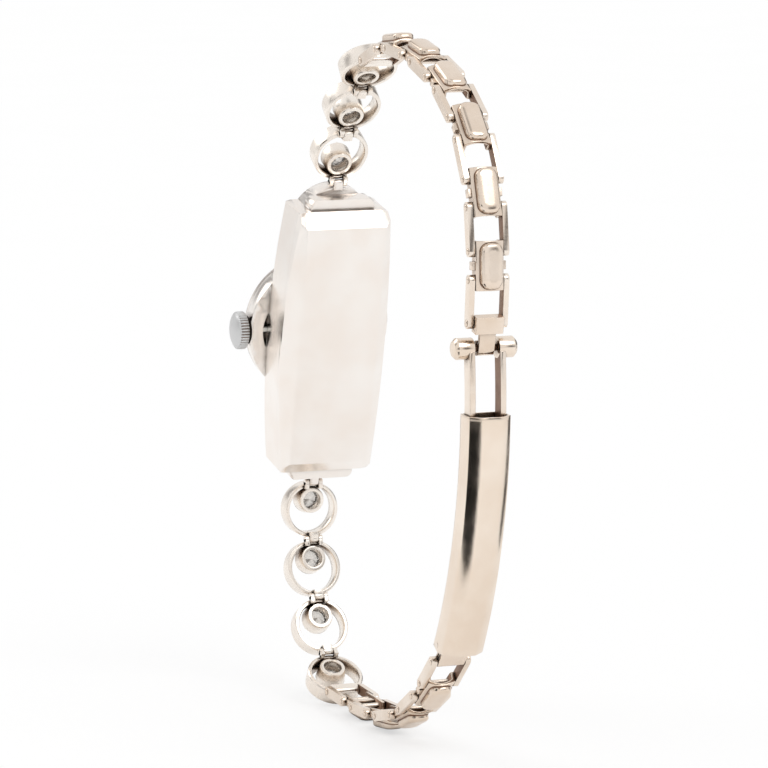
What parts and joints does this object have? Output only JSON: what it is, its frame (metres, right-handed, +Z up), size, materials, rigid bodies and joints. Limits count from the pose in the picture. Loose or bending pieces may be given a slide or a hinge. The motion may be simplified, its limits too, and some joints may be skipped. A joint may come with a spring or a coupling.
{
  "type": "cocktail watch",
  "caption": "Slim cocktail watch on a link bracelet, standing upright with its hook clasp closed; the bracelet unhooks and opens, the back lifts off and the hands turn.",
  "frame": {"origin": "on the floor under the middle of the standing watch's outer box", "axes": "+Z up; the dial faces -Y and leans back, the clasp is at +Y, the crown is at +X; every bracelet pin lies along X"},
  "size_m": [0.0144, 0.0443, 0.0598],
  "materials": {
    "rose_gold": "polished gold alloy",
    "gold_shadow": "polished gold alloy, side parts",
    "crown_steel": "brushed",
    "movement_nickel": "fine grained",
    "movement_brass": "gilt",
    "hand_gold": "polished",
    "dial_ivory": "satin",
    "crystal_glass": "clear",
    "stone": "faceted"
  },
  "bodies": {
    "head": {"case_body": "rose_gold", "bezel": "rose_gold", "bezel_stones": "stone", "lug_stones": "stone", "crystal": "crystal_glass", "dial": "dial_ivory", "dial_markers": "hand_gold", "main_plate": "movement_nickel", "train_bridge": "movement_nickel", "balance_cock": "movement_nickel"},
    "back": {"case_back": "rose_gold"},
    "centre": {"centre_wheel": "movement_brass", "minute_hand": "hand_gold"},
    "hour": {"hour_hand": "hand_gold"},
    "barrel": {"mainspring_barrel": "movement_brass"},
    "third": {"third_wheel": "movement_brass"},
    "fourth": {"fourth_wheel": "movement_brass"},
    "escape": {"escape_wheel": "movement_brass"},
    "pallet": {"pallet_fork": "movement_nickel"},
    "balance": {"balance_wheel": "movement_brass"},
    "stem": {"winding_stem": "movement_nickel"},
    "crown": {"crown": "crown_steel"},
    "upper_round_link_1": {"upper_round_link_1": "rose_gold"},
    "upper_round_link_2": {"upper_round_link_2": "rose_gold"},
    "upper_round_link_3": {"upper_round_link_3": "rose_gold"},
    "upper_plates_1": {"upper_plates_1": "gold_shadow"},
    "upper_block_1": {"upper_block_1": "rose_gold"},
    "upper_plates_2": {"upper_plates_2": "gold_shadow"},
    "upper_block_2": {"upper_block_2": "rose_gold"},
    "upper_plates_3": {"upper_plates_3": "gold_shadow"},
    "upper_block_3": {"upper_block_3": "rose_gold"},
    "upper_plates_4": {"upper_plates_4": "gold_shadow"},
    "upper_block_4": {"upper_block_4": "rose_gold"},
    "upper_plates_5": {"upper_plates_5": "gold_shadow"},
    "upper_block_5": {"upper_block_5": "rose_gold"},
    "upper_plates_6": {"upper_plates_6": "gold_shadow"},
    "upper_block_6": {"upper_block_6": "rose_gold"},
    "upper_plates_7": {"upper_plates_7": "gold_shadow"},
    "lower_round_link_1": {"lower_round_link_1": "rose_gold"},
    "lower_round_link_2": {"lower_round_link_2": "rose_gold"},
    "lower_round_link_3": {"lower_round_link_3": "rose_gold"},
    "lower_round_link_4": {"lower_round_link_4": "rose_gold"},
    "lower_plates_1": {"lower_plates_1": "gold_shadow"},
    "lower_block_1": {"lower_block_1": "rose_gold"},
    "lower_plates_2": {"lower_plates_2": "gold_shadow"},
    "lower_block_2": {"lower_block_2": "rose_gold"},
    "lower_plates_3": {"lower_plates_3": "gold_shadow"},
    "lower_block_3": {"lower_block_3": "rose_gold"},
    "lower_plates_4": {"lower_plates_4": "gold_shadow"},
    "lower_block_4": {"lower_block_4": "rose_gold"},
    "lower_plates_5": {"lower_plates_5": "gold_shadow"},
    "hook": {"clasp_hook": "rose_gold", "clasp_crossbar": "gold_shadow"},
    "end_link": {"clasp_end_link": "rose_gold"},
    "clasp_box": {"clasp_cover": "rose_gold", "clasp_back_plate": "gold_shadow", "clasp_hinge_pin": "gold_shadow"},
    "clasp_slide": {"clasp_slide_frame": "gold_shadow", "clasp_knobs": "rose_gold"}
  },
  "joints": [
    {"name": "upper_round_link_1_hinge", "type": "hinge", "parent": "head", "child": "upper_round_link_1", "pos_m": [-0.0008, -0.01349, 0.04582], "axis": [1, 0, 0], "range_deg": [0, 23.1]},
    {"name": "upper_round_link_2_hinge", "type": "hinge", "parent": "upper_round_link_1", "child": "upper_round_link_2", "pos_m": [-0.0008, -0.01093, 0.05023], "axis": [1, 0, 0], "range_deg": [0, 17]},
    {"name": "upper_round_link_3_hinge", "type": "hinge", "parent": "upper_round_link_2", "child": "upper_round_link_3", "pos_m": [-0.0008, -0.00758, 0.05407], "axis": [1, 0, 0], "range_deg": [0, 19]},
    {"name": "upper_plates_1_hinge", "type": "hinge", "parent": "upper_round_link_3", "child": "upper_plates_1", "pos_m": [-0.0008, -0.00345, 0.05706], "axis": [1, 0, 0], "range_deg": [0, 22]},
    {"name": "upper_block_1_hinge", "type": "hinge", "parent": "upper_plates_1", "child": "upper_block_1", "pos_m": [-0.0008, -0.00016, 0.05825], "axis": [1, 0, 0], "range_deg": [0, 20.5]},
    {"name": "upper_plates_2_hinge", "type": "hinge", "parent": "upper_block_1", "child": "upper_plates_2", "pos_m": [-0.0008, 0.00213, 0.05847], "axis": [1, 0, 0], "range_deg": [0, 16.5]},
    {"name": "upper_block_2_hinge", "type": "hinge", "parent": "upper_plates_2", "child": "upper_block_2", "pos_m": [-0.0008, 0.00562, 0.05816], "axis": [1, 0, 0], "range_deg": [0, 12]},
    {"name": "upper_plates_3_hinge", "type": "hinge", "parent": "upper_block_2", "child": "upper_plates_3", "pos_m": [-0.0008, 0.00788, 0.05772], "axis": [1, 0, 0], "range_deg": [0, 11.5]},
    {"name": "upper_block_3_hinge", "type": "hinge", "parent": "upper_plates_3", "child": "upper_block_3", "pos_m": [-0.0008, 0.01123, 0.05672], "axis": [1, 0, 0], "range_deg": [0, 13.5]},
    {"name": "upper_plates_4_hinge", "type": "hinge", "parent": "upper_block_3", "child": "upper_plates_4", "pos_m": [-0.0008, 0.01333, 0.05578], "axis": [1, 0, 0], "range_deg": [0, 16]},
    {"name": "upper_block_4_hinge", "type": "hinge", "parent": "upper_plates_4", "child": "upper_block_4", "pos_m": [-0.0008, 0.01623, 0.05382], "axis": [1, 0, 0], "range_deg": [0, 18.5]},
    {"name": "upper_plates_5_hinge", "type": "hinge", "parent": "upper_block_4", "child": "upper_plates_5", "pos_m": [-0.0008, 0.01781, 0.05215], "axis": [1, 0, 0], "range_deg": [0, 19.5]},
    {"name": "upper_block_5_hinge", "type": "hinge", "parent": "upper_plates_5", "child": "upper_block_5", "pos_m": [-0.0008, 0.01956, 0.04912], "axis": [1, 0, 0], "range_deg": [0, 18]},
    {"name": "upper_plates_6_hinge", "type": "hinge", "parent": "upper_block_5", "child": "upper_plates_6", "pos_m": [-0.0008, 0.02028, 0.04694], "axis": [1, 0, 0], "range_deg": [0, 16]},
    {"name": "upper_block_6_hinge", "type": "hinge", "parent": "upper_plates_6", "child": "upper_block_6", "pos_m": [-0.0008, 0.02077, 0.04347], "axis": [1, 0, 0], "range_deg": [0, 13]},
    {"name": "upper_plates_7_hinge", "type": "hinge", "parent": "upper_block_6", "child": "upper_plates_7", "pos_m": [-0.0008, 0.02081, 0.04117], "axis": [1, 0, 0], "range_deg": [0, 12.5]},
    {"name": "hook_hinge", "type": "hinge", "parent": "upper_plates_7", "child": "hook", "pos_m": [-0.0008, 0.02048, 0.03769], "axis": [1, 0, 0], "range_deg": [-25, 60]},
    {"name": "lower_round_link_1_hinge", "type": "hinge", "parent": "head", "child": "lower_round_link_1", "pos_m": [-0.0008, -0.01974, 0.01873], "axis": [-1, 0, 0], "range_deg": [0, 18.9]},
    {"name": "lower_round_link_2_hinge", "type": "hinge", "parent": "lower_round_link_1", "child": "lower_round_link_2", "pos_m": [-0.0008, -0.01975, 0.01363], "axis": [-1, 0, 0], "range_deg": [0, 21]},
    {"name": "lower_round_link_3_hinge", "type": "hinge", "parent": "lower_round_link_2", "child": "lower_round_link_3", "pos_m": [-0.0008, -0.01844, 0.0087], "axis": [-1, 0, 0], "range_deg": [0, 18.1]},
    {"name": "lower_round_link_4_hinge", "type": "hinge", "parent": "lower_round_link_3", "child": "lower_round_link_4", "pos_m": [-0.0008, -0.01612, 0.00416], "axis": [-1, 0, 0], "range_deg": [0, 37.6]},
    {"name": "lower_plates_1_hinge", "type": "hinge", "parent": "lower_round_link_4", "child": "lower_plates_1", "pos_m": [-0.0008, -0.01177, 0.0015], "axis": [-1, 0, 0], "range_deg": [0, 35]},
    {"name": "lower_block_1_hinge", "type": "hinge", "parent": "lower_plates_1", "child": "lower_block_1", "pos_m": [-0.0008, -0.00827, 0.00135], "axis": [-1, 0, 0], "range_deg": [0, 6.5]},
    {"name": "lower_plates_2_hinge", "type": "hinge", "parent": "lower_block_1", "child": "lower_plates_2", "pos_m": [-0.0008, -0.00597, 0.00127], "axis": [-1, 0, 0], "range_deg": [0, 10]},
    {"name": "lower_block_2_hinge", "type": "hinge", "parent": "lower_plates_2", "child": "lower_block_2", "pos_m": [-0.0008, -0.00248, 0.0014], "axis": [-1, 0, 0], "range_deg": [0, 10]},
    {"name": "lower_plates_3_hinge", "type": "hinge", "parent": "lower_block_2", "child": "lower_plates_3", "pos_m": [-0.0008, -0.00019, 0.00164], "axis": [-1, 0, 0], "range_deg": [0, 13]},
    {"name": "lower_block_3_hinge", "type": "hinge", "parent": "lower_plates_3", "child": "lower_block_3", "pos_m": [-0.0008, 0.00322, 0.00244], "axis": [-1, 0, 0], "range_deg": [0, 15]},
    {"name": "lower_plates_4_hinge", "type": "hinge", "parent": "lower_block_3", "child": "lower_plates_4", "pos_m": [-0.0008, 0.00535, 0.0033], "axis": [-1, 0, 0], "range_deg": [0, 14]},
    {"name": "lower_block_4_hinge", "type": "hinge", "parent": "lower_plates_4", "child": "lower_block_4", "pos_m": [-0.0008, 0.00838, 0.00506], "axis": [-1, 0, 0], "range_deg": [0, 13]},
    {"name": "lower_plates_5_hinge", "type": "hinge", "parent": "lower_block_4", "child": "lower_plates_5", "pos_m": [-0.0008, 0.01021, 0.00645], "axis": [-1, 0, 0], "range_deg": [0, 10.5]},
    {"name": "end_link_hinge", "type": "hinge", "parent": "lower_plates_5", "child": "end_link", "pos_m": [-0.0008, 0.01283, 0.00877], "axis": [-1, 0, 0], "range_deg": [0, 10]},
    {"name": "clasp_hinge", "type": "hinge", "parent": "end_link", "child": "clasp_box", "pos_m": [-0.0008, 0.01451, 0.01048], "axis": [-1, 0, 0], "range_deg": [0, 40]},
    {"name": "clasp_slide", "type": "hinge", "parent": "clasp_box", "child": "clasp_slide", "pos_m": [-0.0008, -0.02181, 0.03157], "axis": [1, 0, 0], "range_deg": [-5.8, 0]},
    {"name": "back_lift", "type": "slide", "parent": "head", "child": "back", "axis": [0, 0.9744, -0.225], "range_m": [0, 0.006]},
    {"name": "stem_turn", "type": "hinge", "parent": "head", "child": "stem", "pos_m": [0.006, -0.01847, 0.0327], "axis": [1, 0, 0], "continuous": true},
    {"name": "crown_pull", "type": "slide", "parent": "stem", "child": "crown", "axis": [1, 0, 0], "range_m": [0, 0.0005]},
    {"name": "minute_turn", "type": "hinge", "parent": "head", "child": "centre", "pos_m": [-0.0008, -0.01886, 0.03279], "axis": [0, 0.9744, -0.225], "continuous": true},
    {"name": "hour_turn", "type": "hinge", "parent": "head", "child": "hour", "pos_m": [-0.0008, -0.01886, 0.03279], "axis": [0, 0.9744, -0.225], "continuous": true},
    {"name": "barrel_turn", "type": "hinge", "parent": "head", "child": "barrel", "pos_m": [-0.0008, -0.01807, 0.0362], "axis": [0, 0.9744, -0.225], "continuous": true},
    {"name": "third_turn", "type": "hinge", "parent": "head", "child": "third", "pos_m": [-0.00219, -0.0193, 0.03085], "axis": [0, 0.9744, -0.225], "continuous": true},
    {"name": "fourth_turn", "type": "hinge", "parent": "head", "child": "fourth", "pos_m": [-0.00088, -0.01966, 0.02933], "axis": [0, 0.9744, -0.225], "continuous": true},
    {"name": "escape_turn", "type": "hinge", "parent": "head", "child": "escape", "pos_m": [-0.00006, -0.01998, 0.02794], "axis": [0, 0.9744, -0.225], "continuous": true},
    {"name": "balance_swing", "type": "hinge", "parent": "head", "child": "balance", "pos_m": [-0.0008, -0.02057, 0.02539], "axis": [0, 0.9744, -0.225], "range_deg": [-150, 150]},
    {"name": "pallet_rock", "type": "hinge", "parent": "head", "child": "pallet", "pos_m": [-0.00149, -0.02003, 0.02769], "axis": [0, 0.9744, -0.225], "range_deg": [-6, 6]}
  ],
  "couplings": [
    {"joint": "hour_turn", "follows": "minute_turn", "ratio": 0.083333},
    {"joint": "barrel_turn", "follows": "minute_turn", "ratio": -0.16667},
    {"joint": "third_turn", "follows": "minute_turn", "ratio": -8},
    {"joint": "fourth_turn", "follows": "minute_turn", "ratio": 60},
    {"joint": "escape_turn", "follows": "minute_turn", "ratio": -600},
    {"joint": "pallet_rock", "follows": "balance_swing", "ratio": -0.04}
  ]
}
